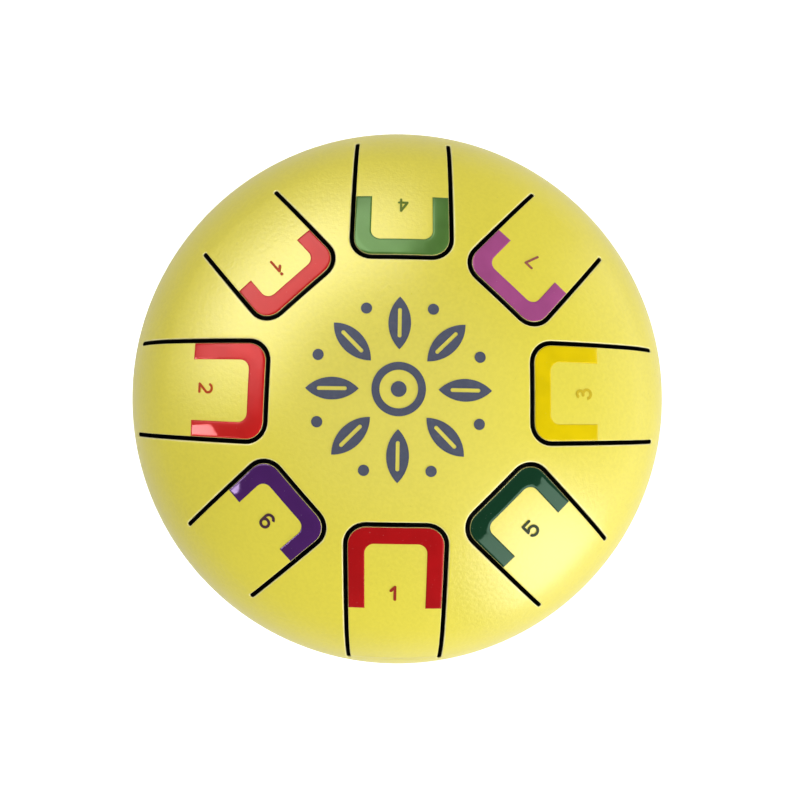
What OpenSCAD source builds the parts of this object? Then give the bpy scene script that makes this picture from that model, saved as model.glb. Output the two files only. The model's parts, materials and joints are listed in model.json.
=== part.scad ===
// Small steel tongue drum: two pressed steel shells welded at the seam, eight tongues cut in the
// upper shell, glossy colour marks and numerals on the tongues, a printed rosette, a sound port
// and three rubber feet. Millimetres, +Z up, origin on the surface the drum stands on, under its centre.
// The low tongue points to -Y. The tongues' middles are 45 degrees apart, and some lean by up to 3 degrees.

/* [Shells] */
// Outside diameter of the drum at the seam
drum_d = 152; // [144:1:164]
// Height of each pressed shell from the seam to its crown, outside
shell_h = 43.5; // [41:0.5:47]
// Outside radius of the shoulder between the wall and the crown
shoulder_r = 33; // [29:0.5:36]
// Thickness of the sheet steel
sheet_t = 1.5; // [1.2:0.1:2]
// Width of the weld bead round the seam
bead_w = 2.4; // [1.8:0.1:3]
// How far the bead stands out from the wall
bead_proud = 0.3; // [0.1:0.05:0.5]

/* [Tongues] */
// Diameter of the bare field inside the tongues' free tips
field_d = 64; // [60:0.5:70]
// Width of every tongue
tongue_w = 22.8; // [20:0.2:24.4]
// Width of the cut round a tongue
slot_w = 1.1; // [0.8:0.1:1.5]
// Radius of a tongue's two free corners
tongue_corner_r = 4.4; // [3:0.2:6]
// Gap at the root line, where a tongue bends
root_gap = 0.1; // [0.06:0.02:0.2]

/* [Marks] */
// Thickness of the domed vinyl marks
mark_t = 0.3; // [0.2:0.05:0.5]
// Bare edge between a tongue's rim and its mark
mark_inset = 0.2; // [0.1:0.1:1]
// Width of a mark along the tongue's sides
mark_arm_w = 3.8; // [2.4:0.2:4.6]
// Width of a mark along the tongue's tip
mark_tip_w = 3.9; // [2.6:0.1:5]
// Radius of a mark's inner corners
mark_corner_r = 2.3; // [1.4:0.1:3]

/* [Numerals] */
// Height of the numeral 1
numeral_h = 3.9; // [3:0.1:5]
// Width of the numeral 3's stroke
numeral_stroke = 0.65; // [0.4:0.05:0.8]
// Thickness of the printed numerals and rosette
print_t = 0.15; // [0.1:0.05:0.3]

/* [Rosette] */
// Outside diameter of the printed rosette
rosette_d = 43; // [40:1:48]
// Length of a petal
petal_l = 12.4; // [10:0.2:12.6]
// Width of a petal
petal_w = 5.2; // [4:0.2:5.6]
// Width of the bare vein in a petal
vein_w = 0.9; // [0.6:0.1:1.2]
// Outside diameter of the ring round the middle
ring_d = 12.4; // [10:0.2:13.6]
// Width of that ring
ring_w = 1.8; // [1.2:0.1:2.4]
// Diameter of the dot in the middle
hub_dot_d = 3.6; // [2:0.2:5]
// Diameter of the small dots between the petals
petal_dot_d = 2.6; // [1.6:0.2:3.4]

/* [Underside] */
// Diameter of the sound port
port_d = 38; // [30:1:44]
// Height of the port's edge above the surface the drum stands on
port_clear = 3.6; // [3:0.2:6]
// Diameter of the circle through the feet
foot_ring_d = 84; // [76:1:96]
// Diameter of a foot where it meets the shell
foot_d = 14; // [11:0.5:15]
// Diameter of a foot's base
foot_base_d = 12; // [9:0.5:13]
// Rounding of a foot's lower edge
foot_edge_r = 1.2; // [0.6:0.1:1.6]
// Diameter of a foot's stem and of its hole in the shell
foot_stem_d = 5; // [4:0.2:6]
// Diameter of the bulb that holds the stem inside the shell
foot_bulb_d = 7.4; // [6.6:0.2:9]
// How far the bulb reaches into the shell
foot_bulb_h = 4; // [3:0.2:5]

/* [Hidden] */
$fn = 96;
NOTES = ["low_1", "2", "3", "4", "5", "6", "7", "high_1"];
FEET = ["front_foot", "right_foot", "left_foot"];

// Directions of the tongues in NOTES order, and the directions of the feet
step_a = 45;
tongue_turns = [6, 4, 0, 2, 7, 5, 1, 3];
foot_angles = [-90, 30, 150];

// Length of a petal's vein as a share of the petal
vein_share = 0.56;

// Places along each tongue in NOTES order: the free tip as a share of the bare field's radius, the
// root line as a share of the drum's radius, the mark's arms as shares of the tongue's length, and
// the way from the mark's tip band to the middle of the numeral as a share of the tongue's width.
// Then how far the numeral lies aside, as a share of that width, and its stroke's width, as a share
// of the numeral 3's
tip_shares = [0.998, 0.98, 0.997, 0.999, 1.043, 1.052, 1.02, 1.018];
root_shares = [0.913, 0.89, 0.865, 0.862, 0.839, 0.808, 0.794, 0.77];
arm_shares = [0.557, 0.519, 0.494, 0.472, 0.484, 0.46, 0.463, 0.425];
numeral_gap_shares = [0.552, 0.487, 0.385, 0.404, 0.373, 0.273, 0.381, 0.232];
numeral_aside_shares = [-0.011, -0.021, -0.005, -0.005, 0, 0.015, 0.003, 0.027];
stroke_shares = [1.06, 0.9, 1, 0.85, 1.06, 1.06, 0.88, 0.92];
// How far each tongue leans off the line through the drum's axis, in degrees, and how far its middle
// lies beside that line, as a share of its width
lean_angles = [0, -1.5, 0.9, 0, 0.8, -3.2, 2.6, -2.6];
aside_shares = [0, 0.018, 0.005, -0.007, -0.005, 0, 0, -0.018];
mark_colours = ["#b01216", "#cd2d2d", "#dec800", "#5e8a48", "#003719", "#461c5f", "#a55087", "#d74b46"];
paint = "#e4d75f";
slate = "#585c70";

// The shell is a crown sphere that runs smoothly into a shoulder ring
drum_r = drum_d / 2;
shoulder_x = drum_r - shoulder_r;
crown_r = (pow(shoulder_x, 2) + pow(shell_h, 2) - pow(shoulder_r, 2)) / (2 * (shell_h - shoulder_r));
crown_z = shell_h - crown_r;
blend_a = atan2(-crown_z, shoulder_x);
reach = 2 * drum_r;
overrun = sheet_t;

// Height of the crown above the seam at a distance rho from the axis, its curve moved inwards by inset
function crown_height(rho, inset) = crown_z + sqrt(pow(crown_r - inset, 2) - pow(rho, 2));

// Places along a tongue, from the drum's axis
function tip_x(i) = tip_shares[i] * field_d / 2;
function root_x(i) = root_shares[i] * drum_r;
function middle_x(i) = (tip_x(i) + root_x(i)) / 2;
function arm_end_x(i) = tip_x(i) + arm_shares[i] * (root_x(i) - tip_x(i));
function numeral_x(i) = tip_x(i) + mark_inset + mark_tip_w + numeral_gap_shares[i] * tongue_w;

// Heights above the surface the drum stands on
port_r = port_d / 2;
seam_z = port_clear + crown_height(port_r, 0);
bead_x = drum_r + bead_proud - bead_w / 2;

foot_r = foot_d / 2;
foot_base_r = foot_base_d / 2;
foot_stem_r = foot_stem_d / 2;
foot_bulb_r = foot_bulb_d / 2;
foot_ring_r = foot_ring_d / 2;
foot_seat_z = seam_z - crown_height(foot_ring_r + foot_r, 0);
foot_inner_z = seam_z - crown_height(foot_ring_r, sheet_t);
foot_bulb_rim_h = 0.8;

// Filled half section of the upper shell above the seam, its curve moved inwards by inset. The
// shoulder's circle lies inside the crown's and touches it where the two curves meet.
module dish(inset) {
    blend_far = [shoulder_x, 0] + reach * [cos(blend_a), sin(blend_a)];
    intersection() {
        translate([0, crown_z]) circle(r = crown_r - inset);
        polygon([[0, 0], [shoulder_x, 0], blend_far, [0, reach]]);
    }
    intersection() {
        translate([shoulder_x, 0]) circle(r = shoulder_r - inset);
        square(reach);
    }
}

// Half section of a skin that follows the shell between two insets
module skin(outer, inner) {
    difference() {
        dish(outer);
        dish(inner);
    }
}

// Half section of one pressed shell, with the weld's seat in its edge
module shell_section() {
    difference() {
        skin(0, sheet_t);
        bead_section();
    }
}

module bead_section() {
    translate([bead_x, 0]) circle(d = bead_w);
}

module at_seam() {
    translate([0, 0, seam_z]) children();
}

// What lies under a flat outline, in a skin on the upper shell
module skin_patch(outer, inner) {
    at_seam() intersection() {
        rotate_extrude() skin(outer, inner);
        linear_extrude(height = shell_h + overrun) children();
    }
}

// The lower shell's filled form, its curve moved inwards by inset
module lower_dish(inset) {
    at_seam() mirror([0, 0, 1]) rotate_extrude() dish(inset);
}

// Flat strip from x = start to x = finish, with round corners at its start
module strip(start, finish, w, r) {
    translate([start + r, -w / 2]) square([finish - start - r, w]);
    translate([start, r - w / 2]) square([finish - start, w - 2 * r]);
    for (side = [-1, 1]) translate([start + r, side * (w / 2 - r)]) circle(r = r);
}

module facing(i) {
    rotate(tongue_turns[i] * step_a) children();
}

// Leans a flat outline as its tongue leans, about the tongue's middle
module leaning(i) {
    translate([middle_x(i), aside_shares[i] * tongue_w])
        rotate(lean_angles[i]) translate([-middle_x(i), 0]) children();
}

module tongue_outline(i) {
    strip(tip_x(i), root_x(i), tongue_w, tongue_corner_r);
}

// The tongue and the cut round it, with round ends to the cut
module window_outline(i) {
    root = root_x(i) + root_gap;
    strip(tip_x(i) - slot_w, root, tongue_w + 2 * slot_w, tongue_corner_r + slot_w);
    for (side = [-1, 1]) translate([root, side * (tongue_w + slot_w) / 2]) circle(d = slot_w);
}

// A band along the tongue's tip with an arm along each side
module mark_outline(i) {
    tip = tip_x(i) + mark_inset;
    w = tongue_w - 2 * mark_inset;
    difference() {
        strip(tip, arm_end_x(i), w, tongue_corner_r - mark_inset);
        strip(tip + mark_tip_w, arm_end_x(i) + overrun, w - 2 * mark_arm_w, mark_corner_r);
    }
}

// Straight strokes of the numerals 1 to 7, as shares of the height of the numeral 1
bar_shares = [
    [[[0.05, -0.43], [0.05, 0.42]], [[0.05, 0.42], [-0.2, 0.17]]],
    [[[0.24, 0.06], [-0.25, -0.42]], [[-0.25, -0.42], [0.25, -0.42]]],
    [[[-0.07, 0.08], [0, 0.08]]],
    [[[0.1, -0.4], [0.1, 0.42]], [[0.1, 0.42], [-0.3, -0.18]], [[-0.3, -0.18], [0.23, -0.18]]],
    [[[-0.3, 0.49], [0.22, 0.49]], [[-0.3, 0.49], [-0.3, -0.03]]],
    [[[-0.275, 0.16], [-0.265, -0.21]]],
    [[[-0.25, 0.43], [0.25, 0.43]], [[0.25, 0.43], [-0.05, -0.45]]]
];
// Round strokes: the middle's two shares and the radius share, then the angles that each covers
bow_shares = [
    [],
    [[0.015, 0.18, 0.26]],
    [[0, 0.285, 0.205], [0, -0.19, 0.27]],
    [],
    [[0.01, -0.17, 0.305]],
    [[0, -0.21, 0.265], [0, -0.21, 0.265], [0.012, 0.16, 0.287]],
    []
];
bow_angles = [
    [],
    [[-28, 162]],
    [[-90, 155], [-175, 90]],
    [],
    [[-162, 155]],
    [[0, 180], [180, 360], [22, 180]],
    []
];
// Middle of the dot over the high note's numeral, and its width as a share of a stroke's
dot_shares = [0.05, 0.67];
dot_width_share = 1.25;
bow_step_a = 15;

module bar(ends, w) {
    along = ends[1] - ends[0];
    translate(ends[0]) rotate(atan2(along[1], along[0])) translate([0, -w / 2]) square([norm(along), w]);
    for (p = ends) translate(p) circle(d = w);
}

module bow(middle, r, angles, w) {
    sweep = angles[1] - angles[0];
    steps = ceil(sweep / bow_step_a);
    translate(middle) intersection() {
        difference() {
            circle(r = r + w / 2);
            circle(r = r - w / 2);
        }
        polygon(concat([[0, 0]], [
            for (k = [0 : steps]) let (a = angles[0] + sweep * k / steps) 2 * numeral_h * [cos(a), sin(a)]
        ]));
    }
}

// The numeral of a tongue, its top towards the drum's middle; the last one is 1 with a dot over it
module numeral_outline(i) {
    high = i == len(NOTES) - 1;
    glyph = high ? 0 : i;
    w = stroke_shares[i] * numeral_stroke;
    translate([numeral_x(i), numeral_aside_shares[i] * tongue_w]) rotate(90) {
        for (ends = bar_shares[glyph]) bar(numeral_h * ends, w);
        for (k = [0 : 1 : len(bow_shares[glyph]) - 1]) {
            s = numeral_h * bow_shares[glyph][k];
            bow([s[0], s[1]], s[2], bow_angles[glyph][k], w);
        }
        if (high) translate(numeral_h * dot_shares) circle(d = dot_width_share * w);
    }
}

// Pointed leaf, l long and w wide, centred
module leaf(l, w) {
    r = (pow(l, 2) + pow(w, 2)) / (4 * w);
    intersection() {
        translate([0, w / 2 - r]) circle(r = r);
        translate([0, r - w / 2]) circle(r = r);
    }
}

// Slit with round ends, l long and w wide, centred
module slit(l, w) {
    square([l - w, w], center = true);
    for (side = [-1, 1]) translate([side * (l - w) / 2, 0]) circle(d = w);
}

module rosette_outline() {
    rosette_r = rosette_d / 2;
    circle(d = hub_dot_d);
    difference() {
        circle(d = ring_d);
        circle(d = ring_d - 2 * ring_w);
    }
    for (k = [0 : len(NOTES) - 1]) rotate(k * step_a) {
        translate([rosette_r - petal_l / 2, 0]) difference() {
            leaf(petal_l, petal_w);
            slit(vein_share * petal_l, vein_w);
        }
        rotate(step_a / 2) translate([rosette_r - petal_dot_d / 2, 0]) circle(d = petal_dot_d);
    }
}

module at_feet(angles) {
    for (a = angles) rotate(a) translate([foot_ring_r, 0, 0]) children();
}

module top_shell() {
    color(paint) difference() {
        at_seam() rotate_extrude() shell_section();
        for (i = [0 : len(NOTES) - 1]) facing(i)
            at_seam() linear_extrude(height = shell_h + overrun) leaning(i) window_outline(i);
    }
}

module bottom_shell() {
    color(paint) difference() {
        at_seam() mirror([0, 0, 1]) rotate_extrude() shell_section();
        cylinder(h = seam_z, r = port_r);
        at_feet(foot_angles) cylinder(h = seam_z, r = foot_stem_r);
    }
}

module weld_bead() {
    color(paint) at_seam() rotate_extrude() bead_section();
}

module centre_rosette() {
    color(slate) skin_patch(-print_t, 0) rosette_outline();
}

// One of the eight tongues, cut from the upper shell's own sheet
module tongue(i) {
    color(paint) facing(i) skin_patch(0, sheet_t) leaning(i) tongue_outline(i);
}

module mark(i) {
    color(mark_colours[i]) facing(i) skin_patch(-mark_t, 0) leaning(i) mark_outline(i);
}

module numeral(i) {
    color(mark_colours[i]) facing(i) skin_patch(-print_t, 0) leaning(i) numeral_outline(i);
}

module foot_section() {
    polygon([
        [0, 0],
        [foot_base_r - foot_edge_r, 0],
        [foot_base_r, foot_edge_r],
        [foot_r, foot_seat_z],
        [0, foot_seat_z]
    ]);
    translate([foot_base_r - foot_edge_r, foot_edge_r]) circle(r = foot_edge_r);
}

// Rubber foot: a pad under the shell, a stem through the sheet and a bulb that holds it inside
module foot(k) {
    at = [foot_angles[k]];
    rim_z = foot_inner_z + foot_bulb_rim_h;
    color("#2a2a2c") {
        difference() {
            at_feet(at) rotate_extrude() foot_section();
            lower_dish(0);
        }
        at_feet(at) translate([0, 0, foot_edge_r]) cylinder(h = rim_z - foot_edge_r, r = foot_stem_r);
        intersection() {
            at_feet(at) {
                translate([0, 0, foot_inner_z - foot_bulb_r])
                    cylinder(h = foot_bulb_r + foot_bulb_rim_h, r = foot_bulb_r);
                translate([0, 0, rim_z])
                    cylinder(h = foot_bulb_h - foot_bulb_rim_h, r1 = foot_bulb_r, r2 = foot_stem_r / 2);
            }
            lower_dish(sheet_t);
        }
    }
}

top_shell();
bottom_shell();
weld_bead();
centre_rosette();
for (i = [0 : len(NOTES) - 1]) tongue(i);
for (i = [0 : len(NOTES) - 1]) mark(i);
for (i = [0 : len(NOTES) - 1]) numeral(i);
for (k = [0 : len(FEET) - 1]) foot(k);
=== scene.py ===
"""Looks of a small steel tongue drum, built round its CAD model.

Two pressed and powder coated shells, eight sprung tongues with domed vinyl marks and printed
numerals, a printed rosette, a weld bead and rubber feet, on a pale studio floor. Metres, in the
CAD model's own frame: the origin is under the drum's middle, +Z is up, and the low tongue
points to -Y.
"""

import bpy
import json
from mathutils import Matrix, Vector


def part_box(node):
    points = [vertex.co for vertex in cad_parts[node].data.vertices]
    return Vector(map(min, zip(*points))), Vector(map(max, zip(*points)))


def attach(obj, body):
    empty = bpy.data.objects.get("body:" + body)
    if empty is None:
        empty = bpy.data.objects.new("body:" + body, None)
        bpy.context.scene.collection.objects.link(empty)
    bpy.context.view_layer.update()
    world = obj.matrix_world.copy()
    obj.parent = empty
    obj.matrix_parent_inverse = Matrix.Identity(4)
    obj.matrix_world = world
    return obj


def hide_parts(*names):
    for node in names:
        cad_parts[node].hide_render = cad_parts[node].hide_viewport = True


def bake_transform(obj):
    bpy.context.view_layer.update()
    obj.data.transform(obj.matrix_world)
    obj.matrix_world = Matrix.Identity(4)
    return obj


bl_info = {
    "name": "Steel tongue drum",
    "version": (1, 0, 0),
    "blender": (4, 5, 0),
    "location": "3D View > Sidebar > Drum",
    "description": "Builds the visible surfaces of a steel tongue drum round its CAD model",
    "category": "Add Mesh",
}

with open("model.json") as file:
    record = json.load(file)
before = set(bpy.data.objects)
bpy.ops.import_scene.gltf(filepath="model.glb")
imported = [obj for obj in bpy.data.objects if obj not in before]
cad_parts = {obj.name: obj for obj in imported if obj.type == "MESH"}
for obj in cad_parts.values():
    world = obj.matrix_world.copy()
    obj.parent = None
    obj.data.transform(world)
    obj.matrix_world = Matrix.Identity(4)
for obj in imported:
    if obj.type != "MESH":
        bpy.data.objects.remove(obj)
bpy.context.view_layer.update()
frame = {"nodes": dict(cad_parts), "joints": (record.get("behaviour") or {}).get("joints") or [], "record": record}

import json
import math

import bpy
from bpy.props import FloatProperty, FloatVectorProperty, PointerProperty
from mathutils import Matrix, Vector

MM = 0.001

# The curve of both shells, outside: a crown sphere that runs smoothly into a shoulder ring
DRUM_R = 76 * MM
SHOULDER_R = 33 * MM
SHEET_T = 1.5 * MM
BEAD_LOW, BEAD_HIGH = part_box("weld_bead")
SEAM_Z = (BEAD_LOW.z + BEAD_HIGH.z) / 2
BEAD_R = (BEAD_HIGH.z - BEAD_LOW.z) / 2
BEAD_RING_R = BEAD_HIGH.x - BEAD_R
SHELL_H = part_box("top_shell")[1].z - SEAM_Z
SHOULDER_X = DRUM_R - SHOULDER_R
CROWN_R = (SHOULDER_X ** 2 + SHELL_H ** 2 - SHOULDER_R ** 2) / (2 * (SHELL_H - SHOULDER_R))
CROWN_Z = SHELL_H - CROWN_R
BLEND_TILT = math.atan2(SHOULDER_X, -CROWN_Z)
BLEND_RHO = CROWN_R * math.sin(BLEND_TILT)
BLEND_WAY = CROWN_R * BLEND_TILT
CURVE_SLACK = 0.02 * MM

# Points closer than this are one point
MERGE = 0.001 * MM
# How finely the sheets are divided: round a cut's end, along a side, round a corner, across a tip,
# out to a field's border, over the middle and down the wall
END_STEPS = 8
SIDE_STEPS = 36
CORNER_STEPS = 8
TIP_STEPS = 16
RING_STEPS = 14
MIDDLE_STEPS = 14
WALL_STEPS = 10
# Where the fields round the tongues begin and end, from the axis
FIELD_IN = 26 * MM
FIELD_OUT = 73.8 * MM
# Rows beside a rounded edge, as shares of its radius, and one row past it
EDGE_SHARES = (0, 0.1, 0.27, 0.55, 1, 2.6)
# Rows near the end of a mark's arm, as shares of the length over which it rounds off
END_SHARES = (0, 0.06, 0.2, 0.45, 0.75)


def height(rho, inset=0.0):
    """Height of the shell's curve from the seam, at a distance from the axis, moved inwards by inset."""
    if rho < (CROWN_R - inset) * math.sin(BLEND_TILT):
        return CROWN_Z + math.sqrt((CROWN_R - inset) ** 2 - rho ** 2)
    return math.sqrt(max((SHOULDER_R - inset) ** 2 - (rho - SHOULDER_X) ** 2, 0.0))


def tilt(rho):
    """Angle between the outer curve's normal and the vertical."""
    if rho < BLEND_RHO:
        return math.asin(rho / CROWN_R)
    return math.asin(min((rho - SHOULDER_X) / SHOULDER_R, 1.0))


def way(rho):
    """Distance from the crown's top along the outer curve."""
    if rho < BLEND_RHO:
        return CROWN_R * tilt(rho)
    return BLEND_WAY + SHOULDER_R * (tilt(rho) - BLEND_TILT)


def rho_at(distance):
    """Distance from the axis, at a distance from the crown's top along the curve."""
    if distance < BLEND_WAY:
        return CROWN_R * math.sin(distance / CROWN_R)
    return SHOULDER_X + SHOULDER_R * math.sin(BLEND_TILT + (distance - BLEND_WAY) / SHOULDER_R)


def turned_box(node, turn):
    """Lowest and highest corner of a CAD node, seen with its plan turned back by an angle."""
    back = Matrix.Rotation(-turn, 3, "Z")
    places = [back @ v.co for v in frame["nodes"][node].data.vertices]
    return [Vector([pick(p[k] for p in places) for k in range(3)]) for pick in (min, max)]


class TonguePlace:
    """Where the CAD has one tongue and its mark, along and across the tongue's own direction.

    A tongue may lean, and its middle line then lies aside of the drum's axis, but its field of the
    shell keeps to its even share of the circle.
    """

    def __init__(self, joint):
        self.body = joint["child"]
        self.note = self.body.removeprefix("tongue_")
        self.turn = math.atan2(-joint["axis"][0], joint["axis"][1])
        self.field_turn = 2 * HALF_WEDGE * round(self.turn / (2 * HALF_WEDGE))
        low, high = turned_box(self.body, self.turn)
        self.tip, self.root, self.width = low.x, high.x, high.y - low.y
        self.aside = (low.y + high.y) / 2
        low, high = turned_box("mark_" + self.note, self.turn)
        self.mark_tip, self.arm_end, self.mark_width = low.x, high.x, high.y - low.y

    def seated(self, points):
        """Points drawn about the tongue's middle line, moved to where that line lies."""
        return [Vector((p.x, p.y + self.aside)) for p in points]


HALF_WEDGE = math.pi / len(frame["joints"])
TONGUES = [TonguePlace(joint) for joint in frame["joints"]]
FOOT_PLACES = {m["name"].removesuffix("_rest"): Vector(m["pos_m"]) for m in frame["record"]["mounts"]}
PORT_R = min(Vector(v.co[:2]).length for v in frame["nodes"]["bottom_shell"].data.vertices)


def check_curve():
    """Stops the build if the CAD's tongues stand over the curve that is pressed here."""
    for place in TONGUES:
        for vertex in frame["nodes"][place.body].data.vertices:
            over = vertex.co.z - SEAM_Z - height(Vector(vertex.co[:2]).length)
            if over > CURVE_SLACK:
                raise RuntimeError(f"{place.body} stands {over / MM:.3f} mm over the shell's curve")


def linear(code):
    """A colour written as #rrggbb, in the linear values that Blender's colours hold."""
    parts = [int(code[k:k + 2], 16) / 255 for k in (1, 3, 5)]
    return [p / 12.92 if p <= 0.04045 else ((p + 0.055) / 1.055) ** 2.4 for p in parts]


def length(name, about, default):
    return FloatProperty(name=name, description=about, default=default, min=0, unit="LENGTH", precision=5)


def colour(name, about, code):
    return FloatVectorProperty(
        name=name, description=about, default=linear(code), subtype="COLOR", size=3, min=0, max=1
    )


class DrumSizes(bpy.types.PropertyGroup):
    """Sizes of the visible surfaces"""

    slot_w: length("Cut width", "Width of the cut round a tongue", 1.1 * MM)
    corner_r: length("Tongue corner", "Radius of a tongue's free corners", 4.4 * MM)
    root_gap: length("Root gap", "Gap that the CAD leaves at a tongue's root line", 0.1 * MM)
    lip_r: length("Cut edge", "Rounding of the painted edges of the cuts", 0.3 * MM)
    tongue_lip_r: length("Tongue edge", "Rounding of a tongue's painted edge", 0.16 * MM)
    bend_l: length("Bending length", "Length of tongue over which it bends at its root", 8 * MM)
    mark_t: length("Mark height", "Height of a domed mark over the paint", 0.29 * MM)
    mark_edge_t: length("Mark edge", "Height of a mark's cut edge", 0.07 * MM)
    mark_tip_w: length("Mark band", "Width of a mark along the tip", 3.9 * MM)
    mark_arm_w: length("Mark arm", "Width of a mark along the sides", 3.8 * MM)
    mark_corner_r: length("Mark corner", "Radius of a mark's inner corners", 2.3 * MM)
    mark_spread: length("Mark spread", "How far a mark runs out past its CAD outline", 0.12 * MM)
    mark_round: length("Mark end", "Length over which a mark's ends round off", 0.5 * MM)
    mark_roll: length("Mark roll", "Width over which a mark's long edges round off", 0.5 * MM)
    port_lip_r: length("Port edge", "Rounding of the sound port's edge", 0.5 * MM)
    ripple: length("Weld ripple", "Depth of the ripples left in the weld bead", 0.07 * MM)
    ripple_l: length("Ripple spacing", "Distance between two ripples of the weld bead", 1.9 * MM)
    foot_base_r: length("Foot base", "Radius of a foot's base", 6 * MM)
    foot_top_r: length("Foot top", "Radius of a foot where it meets the shell", 7 * MM)
    foot_edge_r: length("Foot edge", "Rounding of a foot's lower edge", 1.2 * MM)
    foot_dimple_r: length("Foot dimple", "Radius of the moulded dimple under a foot", 3 * MM)
    foot_dimple_h: length("Dimple height", "Height of the moulded dimple under a foot", 0.9 * MM)
    stem_r: length("Foot stem", "Radius of a foot's stem", 2.5 * MM)
    bulb_r: length("Foot bulb", "Radius of the bulb that holds a foot in the shell", 3.7 * MM)
    bulb_h: length("Bulb height", "How far the bulb reaches into the shell", 4 * MM)


class DrumColours(bpy.types.PropertyGroup):
    """Colours of the drum's finishes"""

    paint: colour("Paint", "Powder coat of the shells and tongues", "#dccf40")
    # The pale cream is thin edge paint and a painted highlight of the rounded cut edges catching light
    paint_edge: colour("Paint edge", "Thin paint on the edges of the cuts", "#f6efb4")
    # Near-black primer; on the cut walls it also stands in for the shade down the slots
    primer: colour("Primer", "Dark primer inside the shells and on the walls of the cuts", "#16140f")
    slate: colour("Slate print", "Ink of the rosette", "#41475f")
    rubber: colour("Rubber", "Rubber of the feet", "#232325")
    vinyl_low_1: colour("Low 1", "Mark of the low 1", "#a60e12")
    vinyl_2: colour("2", "Mark of the 2", "#c5201e")
    vinyl_3: colour("3", "Mark of the 3", "#d6bc00")
    vinyl_4: colour("4", "Mark of the 4", "#4d7233")
    vinyl_5: colour("5", "Mark of the 5", "#002c16")
    vinyl_6: colour("6", "Mark of the 6", "#43195a")
    vinyl_7: colour("7", "Mark of the 7", "#9e4a80")
    vinyl_high_1: colour("High 1", "Mark of the high 1", "#bc2420")


def lerp(a, b, share):
    return a + (b - a) * share


def line(start, stop, steps):
    """Points on a straight line in plan, both ends included."""
    return [Vector(start).lerp(Vector(stop), k / steps) for k in range(steps + 1)]


def arc(centre, radius, start, stop, steps):
    """Points on an arc in plan, both ends included, angles in radians."""
    angles = [lerp(start, stop, k / steps) for k in range(steps + 1)]
    return [Vector(centre) + radius * Vector((math.cos(a), math.sin(a))) for a in angles]


def ray(angle, start, stop, steps):
    """Points on a line through the axis, spaced evenly along the drum's curve."""
    ways = [lerp(way(start), way(stop), k / steps) for k in range(steps + 1)]
    return [rho_at(w) * Vector((math.cos(angle), math.sin(angle))) for w in ways]


def side(start, stop, across, steps):
    """Points along a tongue at a distance from its middle line, spaced evenly along the curve."""
    return [Vector((p.x, across)) for p in ray(0, start, stop, steps)]


def mirrored(half):
    return [Vector((p.x, -p.y)) for p in reversed(half)]


def both_sides(half):
    """A whole outline from its half: up one side, across the tip and back down the other."""
    other = mirrored(half)
    return half + line(half[-1], other[0], TIP_STEPS)[1:-1] + other


def between(loop, border, steps):
    """Rings of points from one loop to another, stepped in angle and along the drum's curve."""
    rings = []
    for k in range(steps + 1):
        ring = []
        for a, b in zip(loop, border):
            angle = lerp(math.atan2(a.y, a.x), math.atan2(b.y, b.x), k / steps)
            rho = rho_at(lerp(way(a.length), way(b.length), k / steps))
            ring.append(rho * Vector((math.cos(angle), math.sin(angle))))
        rings.append(ring)
    return rings


def circle(rho, steps):
    return arc((0, 0), rho, 0, 2 * math.pi, steps)[:-1]


def placed(name, data):
    """A new object in the scene, with its mesh, camera or lamp."""
    obj = bpy.data.objects.new(name, data)
    bpy.context.scene.collection.objects.link(obj)
    return obj


def carry(mesh, facts):
    """Gives a mesh named values for its points, which its material reads."""
    for fact, values in facts.items():
        mesh.attributes.new(fact, "FLOAT", "POINT").data.foreach_set("value", values)


def edge_drop(off, radius):
    """How far a rounded edge lies under the surface, at a distance from the cut."""
    return radius - math.sqrt(max(radius ** 2 - max(radius - off, 0) ** 2, 0))


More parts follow.
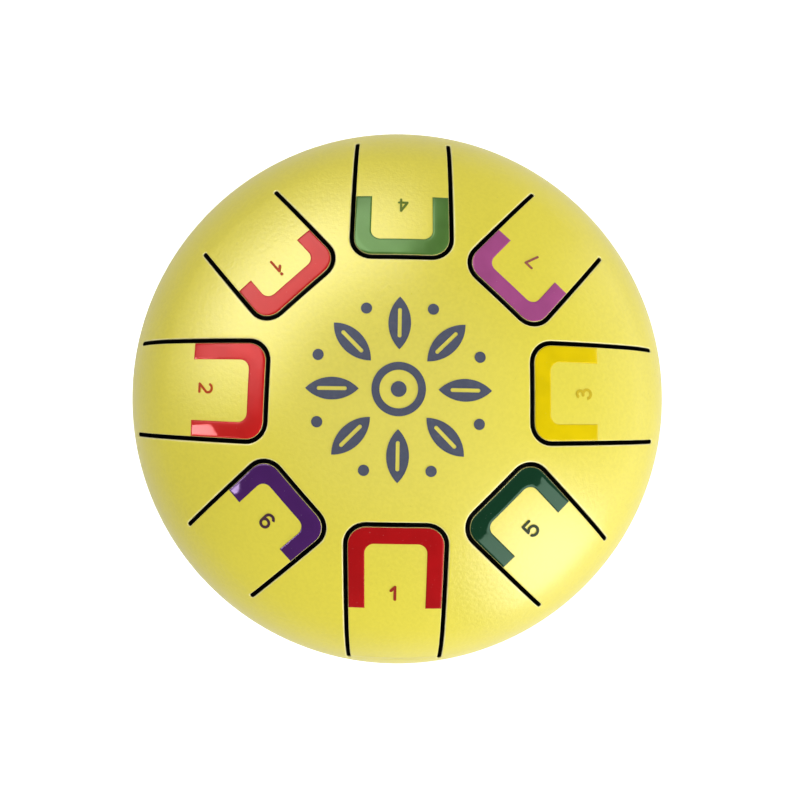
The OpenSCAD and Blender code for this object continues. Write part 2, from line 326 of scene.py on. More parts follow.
class Plate:
    """Rows of points in plan and the faces between them.

    Each point also knows its depth under the outer curve, how free its underside is to follow the
    curve instead of lying straight below, and how near it is to a cut's edge. The pressed piece keeps
    the last for a painted highlight along the edge, and says which points have primer only; on the
    cut walls that dark primer also stands in for shade.
    """

    def __init__(self):
        self.plan = []
        self.facts = {"depth": [], "free": [], "rim": []}
        self.faces = []

    def row(self, points, turn=0.0, depth=0.0, free=0.0, rim=0.0):
        """Adds a row, turned about the axis. A fact is one number for the whole row, or a list."""
        start = len(self.plan)
        about = Matrix.Rotation(turn, 2)
        self.plan += [about @ p for p in points]
        for fact, value in (("depth", depth), ("free", free), ("rim", rim)):
            self.facts[fact] += value if isinstance(value, list) else [value] * len(points)
        return range(start, len(self.plan))

    def fill(self, rows, closed=False):
        """Faces between neighbouring rows, seen from above with each row inside the next."""
        for a, b in zip(rows, rows[1:]):
            for k in range(len(a) if closed else len(a) - 1):
                n = (k + 1) % len(a)
                self.faces.append((a[k], b[k], b[n], a[n]))

    def flat_object(self, name):
        """The plate as a flat mesh with its doubles merged."""
        mesh = bpy.data.meshes.new(name)
        mesh.from_pydata([(p.x, p.y, 0) for p in self.plan], [], self.faces)
        carry(mesh, self.facts)
        obj = placed(name, mesh)
        in_edit_mode(obj, lambda: bpy.ops.mesh.remove_doubles(threshold=MERGE))
        return obj

    def pressed(self, name, under, face_up=True):
        """The plate pressed to the drum's curve, with an underside and walls down its open edges."""
        obj = self.flat_object(name)
        flat = obj.data
        facts = {}
        for fact in self.facts:
            facts[fact] = [0.0] * len(flat.vertices)
            flat.attributes[fact].data.foreach_get("value", facts[fact])
        tops, bottoms = [], []
        sign = 1 if face_up else -1
        for k, vertex in enumerate(flat.vertices):
            x, y, rho = vertex.co.x, vertex.co.y, Vector(vertex.co[:2]).length
            tops.append((x, y, SEAM_Z + sign * height(rho, facts["depth"][k])))
            below = rho - facts["free"][k] * under * math.sin(tilt(rho))
            share = below / rho if rho else 1
            bottoms.append((x * share, y * share, SEAM_Z + sign * height(below, under)))
        count = len(tops)
        faces = [tuple(p.vertices) for p in flat.polygons]
        edges = {pair for f in faces for pair in zip(f, f[1:] + f[:1])}
        walls = [(b, a, a + count, b + count) for a, b in sorted(edges) if (b, a) not in edges]
        faces += [tuple(v + count for v in reversed(f)) for f in faces] + walls
        if not face_up:
            faces = [tuple(reversed(f)) for f in faces]
        mesh = bpy.data.meshes.new(name)
        mesh.from_pydata(tops + bottoms, [], faces)
        none, full = [0.0] * count, [1.0] * count
        # Undersides and walls get the dark primer, which on the cut walls also paints the shade in the cuts
        carry(mesh, {"rim": facts["rim"] + none, "primer": none + full})
        obj.data = mesh
        bpy.data.meshes.remove(flat)
        mesh.name = name
        return smoothed(obj)


def only(obj):
    """Makes an object the only selected one, and the active one."""
    if bpy.context.object and bpy.context.object.mode != "OBJECT":
        bpy.ops.object.mode_set(mode="OBJECT")
    bpy.ops.object.select_all(action="DESELECT")
    obj.select_set(True)
    bpy.context.view_layer.objects.active = obj


def in_edit_mode(obj, *steps):
    """Runs steps on the whole of an object's mesh in edit mode."""
    only(obj)
    bpy.ops.object.mode_set(mode="EDIT")
    bpy.ops.mesh.select_all(action="SELECT")
    for step in steps:
        step()
    bpy.ops.object.mode_set(mode="OBJECT")


def smoothed(obj, degrees=38):
    only(obj)
    bpy.ops.object.shade_smooth_by_angle(angle=math.radians(degrees))
    return obj


def finished(obj, material, body=None, replaces=()):
    """Gives a piece its material and says what it rides on and stands for."""
    obj.data.materials.clear()
    obj.data.materials.append(material)
    if body:
        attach(obj, body)
    if replaces:
        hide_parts(*replaces)


class Number:
    """A shader socket as a number: each operator adds the Math node that works it out."""

    def __init__(self, recipe, socket):
        self.recipe = recipe
        self.socket = socket

    def maths(self, operation, first, second):
        return self.recipe.node("ShaderNodeMath", {"operation": operation}, {0: first, 1: second})

    def __add__(self, other):
        return self.maths("ADD", self, other)

    def __sub__(self, other):
        return self.maths("SUBTRACT", self, other)

    def __rsub__(self, other):
        return self.maths("SUBTRACT", other, self)

    def __mul__(self, other):
        return self.maths("MULTIPLY", self, other)

    __radd__ = __add__
    __rmul__ = __mul__


class Recipe:
    """The nodes of one material or world, and the one way in which they are added."""

    def __init__(self, owner):
        self.owner = owner
        owner.use_nodes = True
        self.tree = owner.node_tree
        self.tree.nodes.clear()

    def place(self, kind="Object"):
        return self.node("ShaderNodeTexCoord", output=kind)

    def node(self, kind, settings=None, sockets=None, output=0):
        """Adds a node with its settings and its sockets' values or links, and gives one output."""
        made = self.tree.nodes.new(kind)
        for key, value in (settings or {}).items():
            setattr(made, key, value)
        for key, value in (sockets or {}).items():
            if isinstance(value, Number):
                self.tree.links.new(value.socket, made.inputs[key])
            else:
                made.inputs[key].default_value = value
        return Number(self, made.outputs[output]) if made.outputs else made

    def noise(self, scale, detail=2.0, roughness=0.5, place=None):
        """Soft noise with so many grains to the metre, from about 0.3 to 0.7."""
        values = {"Vector": place or self.place(), "Scale": scale, "Detail": detail, "Roughness": roughness}
        return self.node("ShaderNodeTexNoise", {}, values)

    def stretched(self, x, y, z):
        return self.node("ShaderNodeMapping", {}, {"Vector": self.place(), "Scale": (x, y, z)})

    def fact(self, name):
        """A value that the piece's own mesh carries."""
        return self.node("ShaderNodeAttribute", {"attribute_name": name}, {}, "Fac")

    def step(self, value, low, high):
        """Rises smoothly from 0 to 1 while the value goes from low to high."""
        settings = {"interpolation_type": "SMOOTHSTEP", "clamp": True}
        sockets = {"Value": value, "From Min": low, "From Max": high}
        return self.node("ShaderNodeMapRange", settings, sockets)

    def mix(self, share, first, second):
        """A colour between two colours."""
        sockets = {0: share, 6: with_alpha(first), 7: with_alpha(second)}
        return self.node("ShaderNodeMix", {"data_type": "RGBA", "clamp_factor": True}, sockets, 2)

    def bump(self, value, distance, strength=1.0):
        sockets = {"Height": value, "Distance": distance, "Strength": strength}
        return self.node("ShaderNodeBump", {}, sockets)

    def surface(self, **sockets):
        """The Principled shader, with names such as base_color for its sockets."""
        named = {key.replace("_", " ").title().replace("Ior", "IOR"): v for key, v in sockets.items()}
        shader = self.node("ShaderNodeBsdfPrincipled", {}, named)
        self.node("ShaderNodeOutputMaterial", {}, {"Surface": shader})
        return self.owner


def new_material(name):
    return Recipe(bpy.data.materials.new(name))


def with_alpha(value):
    return value if isinstance(value, Number) or len(value) == 4 else (*value, 1.0)


def shade(value, share):
    """A colour made lighter or darker by a share."""
    return [min(part * share, 1.0) for part in value]


def orange_peel(recipe):
    """The fine pebbled skin of powder coat, as a height from about 0 to 1."""
    return recipe.noise(1050, 1.5, 0.45) * 0.75 + recipe.noise(3400, 1.0) * 0.25


def tinted_gloss(tint):
    """A gloss that takes up a share of the pigment's hue, less of a deep one's."""
    share = min(0.78, 0.35 + 2 * max(tint))
    return with_alpha([lerp(1, part / max(tint), share) for part in tint])


def powder_coat(colours):
    """Satin yellow powder coat: orange peel, faint clouds, small specks, and pale cream on cut edges that is thin
    edge paint and a painted highlight.

    The walls of the cuts and the insides of the shells have near-black primer instead, which on the walls is also
    painted shade down the cuts.
    """
    recipe = new_material("powder_coat")
    peel = orange_peel(recipe)
    clouds = recipe.noise(22, 3.0)
    specks = recipe.step(recipe.noise(900, 3.0, 0.7), 0.66, 0.78)
    # Near-black primer inside, and on the cut walls as painted shade down the slots
    primer = recipe.step(recipe.fact("primer"), 0.01, 0.1)
    # Painted highlight: pale cream along the rounded cut edges where they catch the light, partly thin edge paint
    edge_highlight = recipe.step(recipe.fact("rim") + (recipe.noise(420, 3.0) - 0.5) * 0.5, 0.45, 0.95)
    dull, bright = shade(colours.paint, 0.955), shade(colours.paint, 1.035)
    base = recipe.mix(recipe.step(clouds, 0.3, 0.7), dull, bright)
    base = recipe.mix(recipe.step(peel, 0.34, 0.66) * 0.28, base, shade(colours.paint, 1.14))
    base = recipe.mix(specks * 0.35, base, shade(colours.paint, 0.62))
    base = recipe.mix(edge_highlight * 0.75, base, colours.paint_edge)
    base = recipe.mix(primer, base, colours.primer)
    return recipe.surface(
        base_color=base,
        roughness=0.23 + peel * 0.1 + clouds * 0.05 + primer * 0.25,
        specular_ior_level=0.6,
        normal=recipe.bump(peel, 0.058 * MM),
    )


def vinyl(name, tint):
    """Glossy domed vinyl: faint waves, hair scratches and a little dust."""
    recipe = new_material(name)
    waves = recipe.noise(160, 2.0)
    scratches = recipe.step(recipe.noise(60, 6.0, 0.75, recipe.stretched(1, 14, 1)), 0.6, 0.75)
    dust = recipe.step(recipe.noise(1700, 2.0, 0.6), 0.7, 0.8)
    base = recipe.mix(recipe.step(waves, 0.3, 0.7), shade(tint, 0.94), shade(tint, 1.06))
    base = recipe.mix(dust * 0.12, base, (0.8, 0.8, 0.78))
    return recipe.surface(
        base_color=base,
        roughness=0.05 + scratches * 0.06 + dust * 0.3,
        specular_ior_level=0.35,
        specular_tint=tinted_gloss(tint),
        normal=recipe.bump(waves, 0.07 * MM),
    )


def glazed(tint, under):
    """A thin ink's colour, with the hue of the paint under it showing in it."""
    return [0.75 * part * lerp(1, below / max(under), 0.6) for part, below in zip(tint, under)]


def ink_cover(tint):
    """How well a thin ink hides the paint under it: a light pigment hides less of it."""
    lightness = 0.21 * tint[0] + 0.72 * tint[1] + 0.07 * tint[2]
    return min(max(1.12 - 2 * lightness, 0.82), 0.98)


def printed(name, tint, under, cover, grains):
    """Matt ink over powder coat: the coat's orange peel shows through, with pinholes in the ink.

    Cover says how well the ink hides the paint, and grains how many thin spots it has to the metre.
    """
    recipe = new_material(name)
    peel = orange_peel(recipe)
    thin = recipe.noise(grains, 3.0, 0.6)
    pinholes = recipe.step(recipe.noise(2300, 2.0, 0.6), 0.68, 0.76)
    base = recipe.mix(recipe.step(thin, 0.35, 0.65), shade(tint, 0.94), shade(tint, 1.06))
    gaps = (1 - cover) + recipe.step(thin, 0.6, 0.8) * 0.04 + pinholes * 0.06
    base = recipe.mix(gaps, base, under)
    return recipe.surface(
        base_color=base,
        roughness=0.48 + peel * 0.14,
        specular_ior_level=0.2,
        normal=recipe.bump(peel, 0.05 * MM, 0.6),
    )


def moulded_rubber(colours):
    """Matt black rubber with a fine moulded grain, a bloom of dust and scuffs."""
    recipe = new_material("moulded_rubber")
    grain = recipe.noise(2600, 3.0, 0.6)
    bloom = recipe.step(recipe.noise(240, 4.0, 0.65), 0.45, 0.75)
    base = recipe.mix(bloom * 0.3, colours.rubber, (0.09, 0.09, 0.088))
    base = recipe.mix(recipe.step(grain, 0.35, 0.7) * 0.25, base, shade(colours.rubber, 1.8))
    return recipe.surface(
        base_color=base,
        roughness=0.62 + bloom * 0.18,
        normal=recipe.bump(grain, 0.05 * MM, 0.5),
    )


def material_of(name, make, *facts):
    """The named material, made the first time it is asked for."""
    return bpy.data.materials.get(name) or make(*facts)


def glossy_marks():
    """The marks, as the only pieces that the small windows show in."""
    name = "glossy_marks"
    return bpy.data.collections.get(name) or bpy.data.collections.new(name)


def coat():
    return material_of("powder_coat", powder_coat, bpy.context.scene.drum_colours)


def cut_edge(place, sizes, off):
    """Outer edge of the cut round a tongue, moved out by off, from the root line round to it again."""
    root = place.root + sizes.root_gap
    across = (place.width + sizes.slot_w) / 2
    wide = sizes.slot_w / 2 + off
    corner = (place.tip + sizes.corner_r, place.width / 2 - sizes.corner_r)
    half = arc((root, across), wide, -math.pi / 2, math.pi / 2, END_STEPS)
    half += side(root, corner[0], across + wide, SIDE_STEPS)[1:]
    half += arc(corner, sizes.corner_r + sizes.slot_w + off, math.pi / 2, math.pi, CORNER_STEPS)[1:]
    return both_sides(half)


def tongue_edge(place, sizes, off):
    """Edge of a tongue, moved in by off, from the root line round its tip and back to it."""
    corner = (place.tip + sizes.corner_r, place.width / 2 - sizes.corner_r)
    half = side(place.root + sizes.root_gap, corner[0], place.width / 2 - off, SIDE_STEPS)
    half += arc(corner, sizes.corner_r - off, math.pi / 2, math.pi, CORNER_STEPS)[1:]
    return both_sides(half)


def wedge_border(place):
    """Border of a tongue's field of the shell, point for point with the cut's edge and root line."""
    first = HALF_WEDGE * TIP_STEPS / (TIP_STEPS + 2 * END_STEPS)
    half = arc((0, 0), FIELD_OUT, first, HALF_WEDGE, END_STEPS)
    half += ray(HALF_WEDGE, FIELD_OUT, FIELD_IN, SIDE_STEPS + CORNER_STEPS // 2)[1:]
    inner = arc((0, 0), FIELD_IN, HALF_WEDGE, -HALF_WEDGE, TIP_STEPS + CORNER_STEPS)[1:-1]
    border = half + inner + mirrored(half) + arc((0, 0), FIELD_OUT, -first, first, TIP_STEPS)[1:-1]
    back = Matrix.Rotation(place.field_turn - place.turn, 2)
    return [back @ p for p in border]


def edge_offsets(radius):
    return [share * radius for share in EDGE_SHARES]


def edge_rows(plate, outline, place, sizes, radius, edge_highlight=1.0):
    """Rows of a plate that round off a painted edge, with so much painted highlight along it."""
    offs = edge_offsets(radius)
    rows = []
    for off in offs:
        points = place.seated(outline(place, sizes, off))
        rim = edge_highlight * (1 - off / offs[-1])
        rows.append(plate.row(points, place.turn, edge_drop(off, radius), rim=rim))
    return rows


class DRUM_OT_upper_shell(bpy.types.Operator):
    """Upper shell: a pressed dome with eight U-shaped cuts that have rounded, painted edges"""

    bl_idname = "drum.upper_shell"
    bl_label = "Upper shell"

    def execute(self, context):
        sizes = context.scene.drum_sizes
        plate = Plate()
        last = edge_offsets(sizes.lip_r)[-1]
        for place in TONGUES:
            plate.fill(edge_rows(plate, cut_edge, place, sizes, sizes.lip_r))
            edge = place.seated(cut_edge(place, sizes, last))
            root_line = line(edge[-1], edge[0], TIP_STEPS)[1:-1]
            rings = between(edge + root_line, wedge_border(place), RING_STEPS)
            rows = [plate.row(ring, place.turn, free=k / RING_STEPS) for k, ring in enumerate(rings)]
            plate.fill(rows, closed=True)
        inner_steps = len(TONGUES) * (TIP_STEPS + CORNER_STEPS)
        middle = [FIELD_IN * k / MIDDLE_STEPS for k in range(MIDDLE_STEPS + 1)]
        plate.fill([plate.row(circle(rho, inner_steps), free=1) for rho in middle], closed=True)
        outer_steps = len(TONGUES) * (TIP_STEPS + 2 * END_STEPS)
        wall = [p.x for p in ray(0, FIELD_OUT, DRUM_R, WALL_STEPS)]
        plate.fill([plate.row(circle(rho, outer_steps), free=1) for rho in wall], closed=True)
        shell = plate.pressed("upper_shell", SHEET_T)
        finished(shell, coat(), "shell", ["top_shell"])
        return {"FINISHED"}


class DRUM_OT_tongues(bpy.types.Operator):
    """Tongues: each a pressed sheet with a rounded painted edge, meeting the shell at its root line"""

    bl_idname = "drum.tongues"
    bl_label = "Tongues"
    # Share of the painted highlight along a tongue's edge
    edge_wear = 0.8

    def execute(self, context):
        sizes = context.scene.drum_sizes
        for place in TONGUES:
            plate = Plate()
            rows = edge_rows(plate, tongue_edge, place, sizes, sizes.tongue_lip_r, self.edge_wear)
            plate.fill(rows[::-1])
            edge = place.seated(tongue_edge(place, sizes, edge_offsets(sizes.tongue_lip_r)[-1]))
            pairs = zip(edge, reversed(edge))
            across = [line(a, b, TIP_STEPS) for a, b in pairs][:SIDE_STEPS + CORNER_STEPS + 1]
            plate.fill([plate.row(points, place.turn) for points in across])
            tongue = plate.pressed("steel_" + place.body, SHEET_T)
            finished(tongue, coat(), None, [place.body])
            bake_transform(tongue)
        return {"FINISHED"}


def mark_band(place, sizes):
    """Outer and inner edge of a mark, point for point, and how far each point is from an arm's end.

    The outer edge runs out past the CAD's by the mark's spread. The distance from an end is a share
    of the length over which the end rounds off, and 1 at most.
    """
    offs = [share * sizes.mark_round for share in END_SHARES]
    inset = place.mark_tip - place.tip
    over = sizes.mark_spread
    edges = []
    outer = (-over, sizes.corner_r - inset + over, -over)
    inner = (sizes.mark_arm_w, sizes.mark_corner_r, sizes.mark_tip_w)
    for narrow, radius, deep in (outer, inner):
        across = place.mark_width / 2 - narrow
        corner = (place.mark_tip + deep + radius, across - radius)
        half = [Vector((place.arm_end - off, across)) for off in offs]
        half += side(place.arm_end - sizes.mark_round, corner[0], across, SIDE_STEPS // 2)
        half += arc(corner, radius, math.pi / 2, math.pi, CORNER_STEPS)[1:]
        edges.append(both_sides(half))
    ends = [min((place.arm_end - p.x) / sizes.mark_round, 1) for p in edges[0]]
    return *edges, ends


def dome(share):
    """Height of a domed edge from 0 to 1, at a share of the way to its top."""
    return math.sqrt(1 - (1 - min(share, 1)) ** 2.4)


class DRUM_OT_marks(bpy.types.Operator):
    """Marks: a domed U of glossy vinyl on each tongue"""

    bl_idname = "drum.marks"
    bl_label = "Marks"
    # Rows over a rounded long edge, as shares of its width, and over the flat, the crown's share of
    # the height, and how deep a mark is sunk in the paint
    roll_shares = (0, 0.03, 0.1, 0.22, 0.4, 0.66, 1)
    flat_steps = 4
    crown_share = 0.1
    sunk = 0.03 * MM

    def columns(self, sizes):
        """Shares of a mark's width at which its rows lie, each with its share of the full height."""
        roll = sizes.mark_roll / sizes.mark_arm_w
        half = [(roll * share, dome(share)) for share in self.roll_shares]
        middle = [(lerp(roll, 1 - roll, k / self.flat_steps), 1) for k in range(1, self.flat_steps)]
        crown = self.crown_share
        found = []
        for share, rise in half + middle + [(1 - share, rise) for share, rise in reversed(half)]:
            found.append((share, lerp(rise, dome(2 * min(share, 1 - share)), crown)))
        return found

    def execute(self, context):
        sizes = context.scene.drum_sizes
        colours = context.scene.drum_colours
        for place in TONGUES:
            plate = Plate()
            outer, inner, ends = mark_band(place, sizes)
            rows = []
            for share, over in self.columns(sizes):
                points = place.seated([a.lerp(b, share) for a, b in zip(outer, inner)])
                rise = sizes.mark_t - sizes.mark_edge_t
                depth = [-sizes.mark_edge_t - rise * over * dome(end) for end in ends]
                rows.append(plate.row(points, place.turn, depth))
            plate.fill(rows[::-1])
            mark = plate.pressed("vinyl_mark_" + place.note, self.sunk)
            slot = "vinyl_" + place.note
            material = material_of(slot + "_gloss", vinyl, slot + "_gloss", getattr(colours, slot))
            finished(mark, material, place.body, ["mark_" + place.note])
            glossy_marks().objects.link(mark)
        return {"FINISHED"}


class DRUM_OT_prints(bpy.types.Operator):
    """Prints: the numerals and the rosette, in matt ink on the powder coat"""

    bl_idname = "drum.prints"
    bl_label = "Numerals and rosette"
    rosette_cover = 0.985
    rosette_grains = 700
    numeral_grains = 1500

    def execute(self, context):
        colours = context.scene.drum_colours
        under = colours.paint
        slate = printed("slate_ink", colours.slate, under, self.rosette_cover, self.rosette_grains)
        frame["nodes"]["centre_rosette"].material_slots[0].material = slate
        for place in TONGUES:
            tint = glazed(getattr(colours, "vinyl_" + place.note), under)
            ink = printed("ink_" + place.note, tint, under, ink_cover(tint), self.numeral_grains)
            frame["nodes"]["numeral_" + place.note].material_slots[0].material = ink
        return {"FINISHED"}


class DRUM_OT_weld_bead(bpy.types.Operator):
    """Weld bead: a ring with shallow ripples, painted over"""

    bl_idname = "drum.weld_bead"
    bl_label = "Weld bead"
    section_steps = 20
    steps_to_a_ripple = 6
    # A ripple's sweep back at the bead's edges, in radians, and the bead's drifts as shares of a
    # ripple's depth: their mean, and each one's depth, waves in a turn and start
    sweep = 2.2
    drift = 0.3
    drifts = ((0.3, 5, 0), (0.2, 13, 1))

    def execute(self, context):
        sizes = context.scene.drum_sizes
        ripples = round(2 * math.pi * BEAD_RING_R / sizes.ripple_l)
        bpy.ops.object.select_all(action="DESELECT")
        bpy.ops.mesh.primitive_torus_add(
            location=(0, 0, SEAM_Z),
            major_segments=ripples * self.steps_to_a_ripple,
            minor_segments=self.section_steps,
            major_radius=BEAD_RING_R,
            minor_radius=BEAD_R,
        )
        bead = context.object
        bead.name = bead.data.name = "painted_bead"
        bpy.ops.object.transform_apply(location=True, rotation=True, scale=True)
        for vertex in bead.data.vertices:
            angle = math.atan2(vertex.co.y, vertex.co.x)
            middle = BEAD_RING_R * Vector((math.cos(angle), math.sin(angle), 0)) + Vector((0, 0, SEAM_Z))
            away = vertex.co - middle
            dip = 0.5 - 0.5 * math.cos(angle * ripples + self.sweep * abs(away.z) / BEAD_R)
            waves = (deep * math.sin(count * angle + at) for deep, count, at in self.drifts)
            drift = sum(waves, self.drift)
            vertex.co = middle + away * (1 - sizes.ripple * (dip ** 2 + drift) / BEAD_R)
        # The bead's inside gets the dark primer, which also keeps it in painted shade seen through the cuts
        inside = [float(Vector(v.co[:2]).length < DRUM_R - SHEET_T / 2) for v in bead.data.vertices]
        carry(bead.data, {"primer": inside})
        finished(smoothed(bead), coat(), "shell", ["weld_bead"])
        return {"FINISHED"}


class DRUM_OT_lower_shell(bpy.types.Operator):
    """Lower shell: the same pressed dome upside down, with a sound port and holes for the feet"""

    bl_idname = "drum.lower_shell"
    bl_label = "Lower shell"
    arc_steps = 64
    ray_steps = 12
    # Where the ring of sheet with the feet's holes begins and ends, from the axis
    foot_field = (29 * MM, 55 * MM)
    port_steps = 8
    wall_steps = 26

    def execute(self, context):
        sizes = context.scene.drum_sizes
        plate = Plate()
        around = len(FOOT_PLACES) * self.arc_steps
        offs = edge_offsets(sizes.port_lip_r)
        lip = []
        # The rim value gives the port's rounded edge a painted highlight
        for off in offs:
            drop = edge_drop(off, sizes.port_lip_r)
            lip.append(plate.row(circle(PORT_R + off, around), depth=drop, rim=1 - off / offs[-1]))
        plate.fill(lip, closed=True)
        low, high = self.foot_field
        fields = ((PORT_R + offs[-1], low, self.port_steps), (high, DRUM_R, self.wall_steps))
        for start, stop, steps in fields:
            rings = [p.x for p in ray(0, start, stop, steps)]
            free = [min(k, 1) if start < low else 1 for k in range(steps + 1)]
            rows = [plate.row(circle(rho, around), free=f) for rho, f in zip(rings, free)]
            plate.fill(rows, closed=True)
        half = math.pi / len(FOOT_PLACES)
        for foot in FOOT_PLACES.values():
            border = arc((0, 0), high, 0, half, self.arc_steps // 2)
            border += ray(half, high, low, self.ray_steps)[1:]
            border += arc((0, 0), low, half, 0, self.arc_steps // 2)[1:]
            border += mirrored(border)[1:-1]
            at = Vector(foot[:2])
            hole = arc((at.length, 0), sizes.stem_r, 0, 2 * math.pi, len(border))[:-1]
            rings = between(hole, border, self.ray_steps)
            turn = math.atan2(at.y, at.x)
            rows = [plate.row(ring, turn, free=k / self.ray_steps) for k, ring in enumerate(rings)]
            plate.fill(rows, closed=True)
        shell = plate.pressed("lower_shell", SHEET_T, face_up=False)
        finished(shell, coat(), "shell", ["bottom_shell"])
        return {"FINISHED"}


class DRUM_OT_feet(bpy.types.Operator):
    """Feet: a moulded rubber pad seated on the shell, with a stem through it and a bulb inside"""

    bl_idname = "drum.feet"
    bl_label = "Feet"
    turn_steps = 72
    smooth_degrees = 50
    seat_slack = 0.02 * MM
    # The dimple's middle, flat and shoulder as shares of its radius and height, and its edge's
    # rounding as a share of its height
    dimple_shares = ((0, 1), (0.45, 1), (0.7, 0.93))
    dimple_edge = 0.4
    # Bevel of the pad's upper edge. On the bulb, the rim's height, and the bevels at its seat, over
    # its rim in and up, under its top, and elsewhere
    pad_bevel = 0.5 * MM
    rim_h = 0.8 * MM
    seat_bevel = 0.25 * MM
    rim_bevel = (0.15 * MM, 0.1 * MM)
    top_bevel = 0.3 * MM
    bevel = 0.2 * MM

    def pad(self, sizes, top):
        """Half section of the pad from the middle of its dimple to its seat, as radius and height."""
        dimple, deep, edge = sizes.foot_dimple_r, sizes.foot_dimple_h, sizes.foot_edge_r
        bend = self.dimple_edge * deep
        seat = top - self.seat_slack
        section = [Vector((out * dimple, up * deep)) for out, up in self.dimple_shares]
        section += arc((dimple + bend, bend), bend, math.pi, 1.5 * math.pi, 5)
        section += line(section[-1], (sizes.foot_base_r - edge, 0), 3)[1:]
        section += arc((sizes.foot_base_r - edge, edge), edge, -math.pi / 2, 0, 8)[1:]
        rim = (sizes.foot_top_r - self.pad_bevel / 2, top - self.pad_bevel)
        section += line(section[-1], rim, 10)[1:]
        section += line(section[-1], (sizes.foot_top_r - self.pad_bevel, seat), 3)[1:]
        section += line(section[-1], (sizes.stem_r, seat), 5)[1:]
        return section

    def bulb(self, sizes, inner):
        """Half section of the stem and bulb above the seat."""
        wide, blunt = sizes.bulb_r, sizes.stem_r / 2
        low, rim, top = inner + self.seat_slack, inner + self.rim_h, inner + sizes.bulb_h
        section = [Vector((sizes.stem_r - self.seat_slack, low))]
        section += line(section[-1], (wide - self.bevel, low), 3)[1:]
        section += [Vector((wide, inner + self.seat_bevel)), Vector((wide, rim - self.bevel))]
        start = (wide - self.rim_bevel[0], rim + self.rim_bevel[1])
        section += line(start, (blunt + self.bevel, top - self.top_bevel), 4)
        section += [Vector((blunt - self.bevel, top)), Vector((0, top))]
        return section

    def execute(self, context):
        sizes = context.scene.drum_sizes
        rubber = material_of("moulded_rubber", moulded_rubber, context.scene.drum_colours)
        for name, at in FOOT_PLACES.items():
            ring = Vector(at[:2]).length
            seat_z = SEAM_Z - height(ring)
            inner_z = SEAM_Z - height(ring, SHEET_T)
            section = self.pad(sizes, seat_z) + self.bulb(sizes, inner_z)
            mesh = bpy.data.meshes.new("rubber_" + name)
            points = [(at.x + p.x, at.y, p.y) for p in section]
            mesh.from_pydata(points, [(k, k + 1) for k in range(len(points) - 1)], [])
            foot = placed("rubber_" + name, mesh)
            whole = {"steps": self.turn_steps, "angle": 2 * math.pi, "center": at, "axis": (0, 0, 1)}
            in_edit_mode(
                foot,
                lambda: bpy.ops.mesh.spin(**whole),
                lambda: bpy.ops.mesh.select_all(action="SELECT"),
                lambda: bpy.ops.mesh.remove_doubles(threshold=MERGE),
                lambda: bpy.ops.mesh.normals_make_consistent(inside=False),
            )
            for vertex in mesh.vertices:
                rho = Vector(vertex.co[:2]).length
                if vertex.co.z < inner_z - SHEET_T / 2:
                    lift = (SEAM_Z - height(rho) - seat_z) * max(vertex.co.z / seat_z, 0)
                else:
                    sheet = SEAM_Z - height(rho, SHEET_T) - inner_z
                    lift = sheet * max(1 - (vertex.co.z - inner_z) / sizes.bulb_h, 0)
                vertex.co.z += lift
            finished(smoothed(foot, self.smooth_degrees), rubber, "shell", [name])
        return {"FINISHED"}


def towards(turn, elevation):
    """Unit vector in a direction and elevation in degrees."""
    a, e = math.radians(turn), math.radians(elevation)
    return Vector((math.cos(a) * math.cos(e), math.sin(a) * math.cos(e), math.sin(e)))


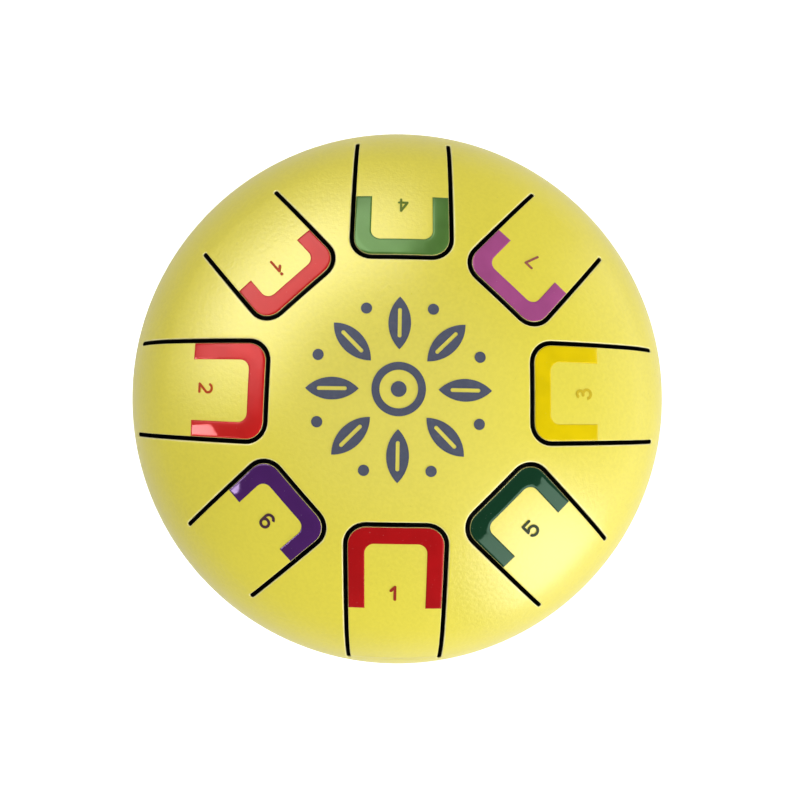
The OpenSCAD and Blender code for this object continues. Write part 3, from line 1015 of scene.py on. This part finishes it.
class DRUM_OT_stage(bpy.types.Operator):
    """Stage: pale floor, soft lamps, and the camera close above the drum"""

    bl_idname = "drum.stage"
    bl_label = "Stage"
    # The camera's place, its turn in radians, and its lens and sensor in millimetres
    camera_at = (-0.659 * MM, -7.397 * MM, 228.44 * MM)
    camera_turn = (0.0351, -0.0077, 0.0164)
    lens = 27.62
    sensor = 36
    nearest = 10 * MM
    floor_size = 8
    floor_tones = ((0.74, 0.74, 0.74), (0.78, 0.78, 0.78))
    # Each lamp's direction and elevation in degrees, its distance, width and height in metres, and
    # its brightness. Some show in gloss only, and some in the marks only
    lamps = {
        "key": (-45, 22, 0.8, 0.46, 0.54, 4.0),
        "key_sheen": (-45, 22, 0.8, 0.46, 0.54, 6.0),
        "back_sheen": (135, 40, 0.8, 0.66, 0.38, 2.2),
        "side": (8, 9, 0.9, 1.17, 0.55, 1.2),
        "window": (191, 25, 0.8, 0.11, 0.2, 26),
        "pane": (208, 28, 0.8, 0.05, 0.17, 22),
    }
    gloss_only = ("key_sheen", "back_sheen", "window", "pane")
    marks_only = ("window", "pane")
    # A soft band of light that gloss shows: its first and last direction from its middle, and its
    # lowest and highest elevation, each as where it begins and ends to fade, in degrees
    band_middle = 135
    band_first = (-60, -40)
    band_last = (32, 58)
    band_low = (16, 33)
    band_high = (45, 62)
    band_brightness = 6.8
    # The studio's brightness: overhead on matt surfaces and in gloss, all round, and in gloss alone a
    # haze and the pale backdrop near the floor. The fades are of the light's direction upwards
    overhead = 1.8
    overhead_gloss = 0.15
    around = 0.2
    haze = 0.25
    horizon = 0.15
    overhead_fade = (0.68, 0.92)
    horizon_fade = (0.04, 0.24)
    # How much brighter than its own light the floor looks to the camera, and in gloss
    floor_glow = 0.7
    floor_gloss = 0.05

    def execute(self, context):
        context.scene.view_settings.view_transform = "Standard"
        self.floor()
        self.world(context.scene)
        for name, facts in self.lamps.items():
            self.lamp(name, *facts)
        camera = placed("camera", bpy.data.cameras.new("camera"))
        camera.data.lens = self.lens
        camera.data.sensor_width = self.sensor
        camera.data.clip_start = self.nearest
        camera.location = self.camera_at
        camera.rotation_euler = self.camera_turn
        context.scene.camera = camera
        return {"FINISHED"}

    def floor(self):
        """A pale floor, white to the camera but for the drum's shadow, and clear from below."""
        bpy.ops.object.select_all(action="DESELECT")
        bpy.ops.mesh.primitive_plane_add(size=self.floor_size, location=(0, 0, 0))
        floor = bpy.context.object
        floor.name = "floor"
        recipe = new_material("pale_floor")
        camera, glossy, clear = self.ray_kinds(recipe)
        base = recipe.mix(recipe.noise(18, 3.0), *self.floor_tones)
        diffuse = recipe.node("ShaderNodeBsdfDiffuse", {}, {"Color": base})
        strength = (camera + clear) * self.floor_glow + glossy * self.floor_gloss
        glow = recipe.node("ShaderNodeEmission", {}, {"Strength": strength})
        top = recipe.node("ShaderNodeAddShader", {}, {0: diffuse, 1: glow})
        below = recipe.node("ShaderNodeNewGeometry", output="Backfacing")
        unseen = recipe.node("ShaderNodeBsdfTransparent")
        both = recipe.node("ShaderNodeMixShader", {}, {0: below, 1: top, 2: unseen})
        recipe.node("ShaderNodeOutputMaterial", {}, {"Surface": both})
        floor.data.materials.append(recipe.owner)

    def ray_kinds(self, recipe):
        """Whether light is worked out for the camera, for gloss or for clear pieces."""
        kinds = ("Camera", "Glossy", "Transmission")
        return [recipe.node("ShaderNodeLightPath", output=f"Is {kind} Ray") for kind in kinds]

    def world(self, scene):
        """A soft overhead light over a dim studio, with a white backdrop for the camera."""
        scene.world = bpy.data.worlds.new("studio")
        recipe = Recipe(scene.world)
        camera, glossy, clear = self.ray_kinds(recipe)
        place = recipe.place("Generated")
        up = recipe.node("ShaderNodeSeparateXYZ", {}, {0: place}, "Z")
        overhead = glossy * (self.overhead_gloss - self.overhead) + self.overhead
        studio = recipe.step(up, *self.overhead_fade) * overhead + self.around
        sheen = self.haze + self.band(recipe, place, up) * self.band_brightness
        sheen += (1 - recipe.step(up, *self.horizon_fade)) * self.horizon
        seen = camera + clear
        strength = (studio + glossy * sheen) * (1 - seen) + seen
        light = recipe.node("ShaderNodeBackground", {}, {"Color": (1, 1, 1, 1), "Strength": strength})
        recipe.node("ShaderNodeOutputWorld", {}, {"Surface": light})

    def band(self, recipe, place, up):
        """Share of the soft band's light in each direction."""
        dot = {"operation": "DOT_PRODUCT"}
        ahead, aside = [
            recipe.node("ShaderNodeVectorMath", dot, {0: place, 1: towards(turn, 0)}, "Value")
            for turn in (self.band_middle, self.band_middle + 90)
        ]
        turn = recipe.node("ShaderNodeMath", {"operation": "ARCTAN2"}, {0: aside, 1: ahead})
        first, last = [[math.radians(a) for a in ends] for ends in (self.band_first, self.band_last)]
        fades = (self.band_low, self.band_high)
        low, high = [[math.sin(math.radians(a)) for a in ends] for ends in fades]
        along = recipe.step(turn, *first) * (1 - recipe.step(turn, *last))
        return along * recipe.step(up, *low) * (1 - recipe.step(up, *high))

    def lamp(self, name, turn, elevation, distance, width, tall, brightness):
        """A soft lamp that faces the middle of the drum."""
        away = towards(turn, elevation)
        data = bpy.data.lights.new(name, "AREA")
        data.shape = "RECTANGLE"
        data.size, data.size_y = width, tall
        data.energy = brightness * math.pi * width * tall
        lamp = placed(name, data)
        lamp.location = away * distance + Vector((0, 0, SEAM_Z))
        lamp.rotation_euler = away.to_track_quat("Z", "Y").to_euler()
        lamp.visible_diffuse = name not in self.gloss_only
        if name in self.marks_only:
            lamp.light_linking.receiver_collection = glossy_marks()


class DRUM_PT_panel(bpy.types.Panel):
    """Lists what the drum is built from"""

    bl_idname = "DRUM_PT_panel"
    bl_label = "Steel tongue drum"
    bl_space_type = "VIEW_3D"
    bl_region_type = "UI"
    bl_category = "Drum"

    def draw(self, context):
        for operator in OPERATORS:
            self.layout.operator(operator.bl_idname)
        for group in (context.scene.drum_sizes, context.scene.drum_colours):
            box = self.layout.box()
            for name in group.__annotations__:
                box.prop(group, name)


OPERATORS = (
    DRUM_OT_stage,
    DRUM_OT_lower_shell,
    DRUM_OT_upper_shell,
    DRUM_OT_weld_bead,
    DRUM_OT_tongues,
    DRUM_OT_marks,
    DRUM_OT_prints,
    DRUM_OT_feet,
)
CLASSES = (DrumSizes, DrumColours, *OPERATORS, DRUM_PT_panel)


def register():
    for each in CLASSES:
        bpy.utils.register_class(each)
    bpy.types.Scene.drum_sizes = PointerProperty(type=DrumSizes)
    bpy.types.Scene.drum_colours = PointerProperty(type=DrumColours)


def unregister():
    del bpy.types.Scene.drum_colours
    del bpy.types.Scene.drum_sizes
    for each in reversed(CLASSES):
        bpy.utils.unregister_class(each)


def main():
    check_curve()
    register()
    bpy.ops.drum.stage()
    bpy.ops.drum.lower_shell()
    bpy.ops.drum.upper_shell()
    bpy.ops.drum.weld_bead()
    bpy.ops.drum.tongues()
    bpy.ops.drum.marks()
    bpy.ops.drum.prints()
    bpy.ops.drum.feet()


if __name__ == "__main__":
    main()
